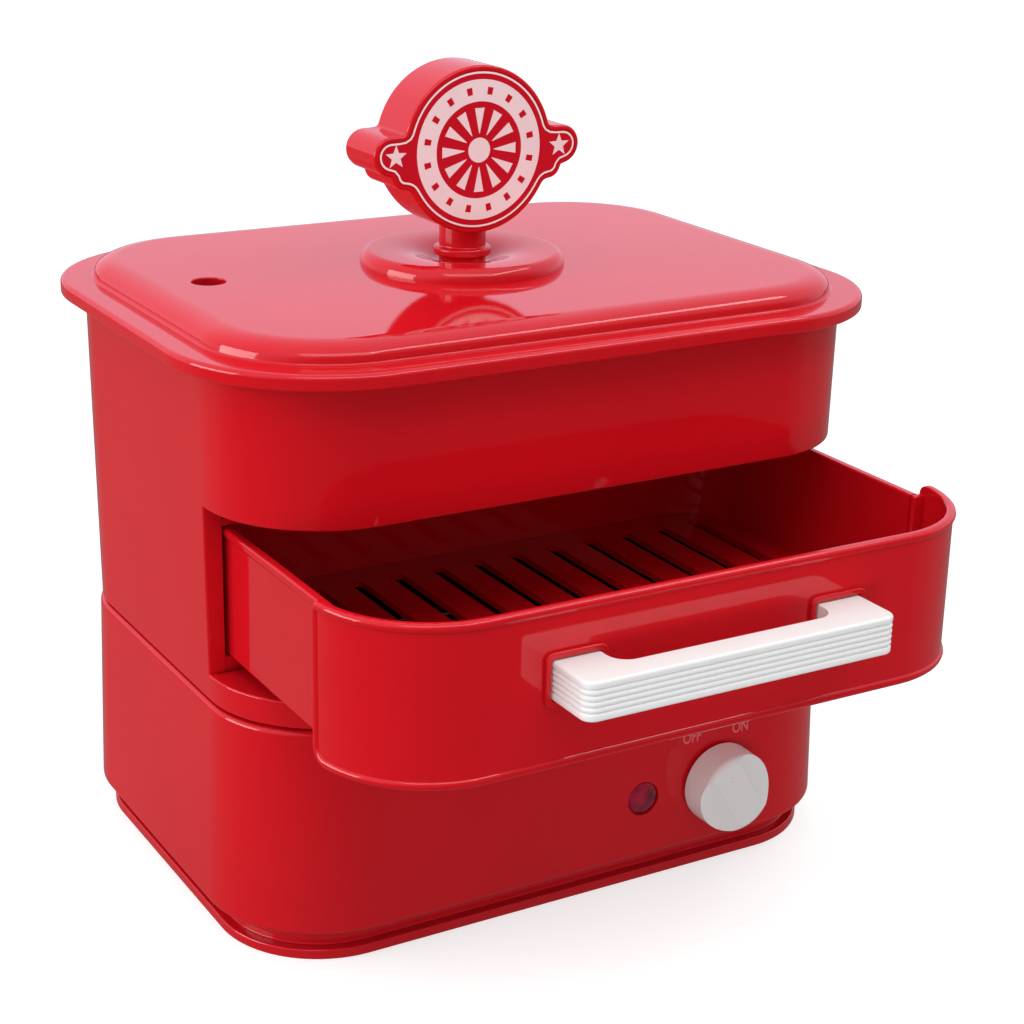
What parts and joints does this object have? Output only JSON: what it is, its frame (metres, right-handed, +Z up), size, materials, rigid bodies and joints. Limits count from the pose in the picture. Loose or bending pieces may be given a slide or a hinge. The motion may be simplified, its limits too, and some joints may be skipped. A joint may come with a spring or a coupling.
{
  "type": "hot dog steamer",
  "caption": "Countertop steamer with a heated water base, lift-off housing, slide-out drawer, bun tray, and a lid with a sign-shaped grip.",
  "frame": {"origin": "centre of the footprint, on the surface that the steamer stands on", "axes": "+Z up, -Y towards the front where the drawer pulls out, +X to the right seen from the front"},
  "size_m": [0.2424, 0.2616, 0.2639],
  "materials": {
    "red_shell": "high-gloss moulded plastic",
    "red_tray": "gloss moulded plastic, a little darker",
    "white_plastic": "satin to gloss moulded plastic",
    "dark_plastic": "matte moulded plastic",
    "pale_plastic": "matte moulded plastic",
    "lens_red": "clear tinted plastic",
    "sign_print": "printed plastic sheet",
    "foot_rubber": "soft matte rubber",
    "seal_rubber": "soft matte rubber",
    "bush_rubber": "moulded rubber",
    "plate_metal": "turned and polished",
    "tube_steel": "heat-darkened steel tube",
    "plain_steel": "plain rolled steel",
    "screw_steel": "zinc plated",
    "nut_brass": "bright turned brass"
  },
  "bodies": {
    "base": {"base_shell": "red_shell", "bottom_cover": "red_shell", "rubber_feet": "foot_rubber", "cover_screws": "screw_steel", "water_basin": "dark_plastic", "basin_screws": "screw_steel", "heating_plate": "plate_metal", "plate_seal": "seal_rubber", "heating_tube": "tube_steel", "heater_bracket": "plain_steel", "bracket_screws": "screw_steel", "thermostat": "plain_steel", "thermal_fuse": "plain_steel", "rotary_switch": "dark_plastic", "switch_nut": "nut_brass", "lamp_lens": "lens_red", "lamp_body": "pale_plastic", "lamp_clip": "plain_steel", "terminal_block": "pale_plastic", "cord_bush": "bush_rubber"},
    "knob": {"switch_shaft": "plain_steel", "knob": "white_plastic"},
    "housing": {"housing": "red_shell"},
    "drawer": {"drawer": "red_shell", "drawer_handle": "white_plastic", "handle_screws": "screw_steel"},
    "tray": {"bun_tray": "red_tray"},
    "lid": {"lid": "red_shell", "sign_grip": "red_shell", "sign_face": "sign_print", "grip_screw": "screw_steel", "grip_washer": "plain_steel"}
  },
  "joints": [
    {"name": "housing_lift", "type": "slide", "parent": "base", "child": "housing", "axis": [0, 0, 1], "range_m": [0, 0.12]},
    {"name": "drawer_slide", "type": "slide", "parent": "housing", "child": "drawer", "axis": [0, -1, 0], "range_m": [-0.069, 0.03]},
    {"name": "tray_lift", "type": "slide", "parent": "housing", "child": "tray", "axis": [0, 0, 1], "range_m": [0, 0.12]},
    {"name": "lid_lift", "type": "slide", "parent": "tray", "child": "lid", "axis": [0, 0, 1], "range_m": [0, 0.12]},
    {"name": "knob_turn", "type": "hinge", "parent": "base", "child": "knob", "pos_m": [0.0544, -0.09, 0.032], "axis": [0, 1, 0], "range_deg": [0, 60]}
  ]
}
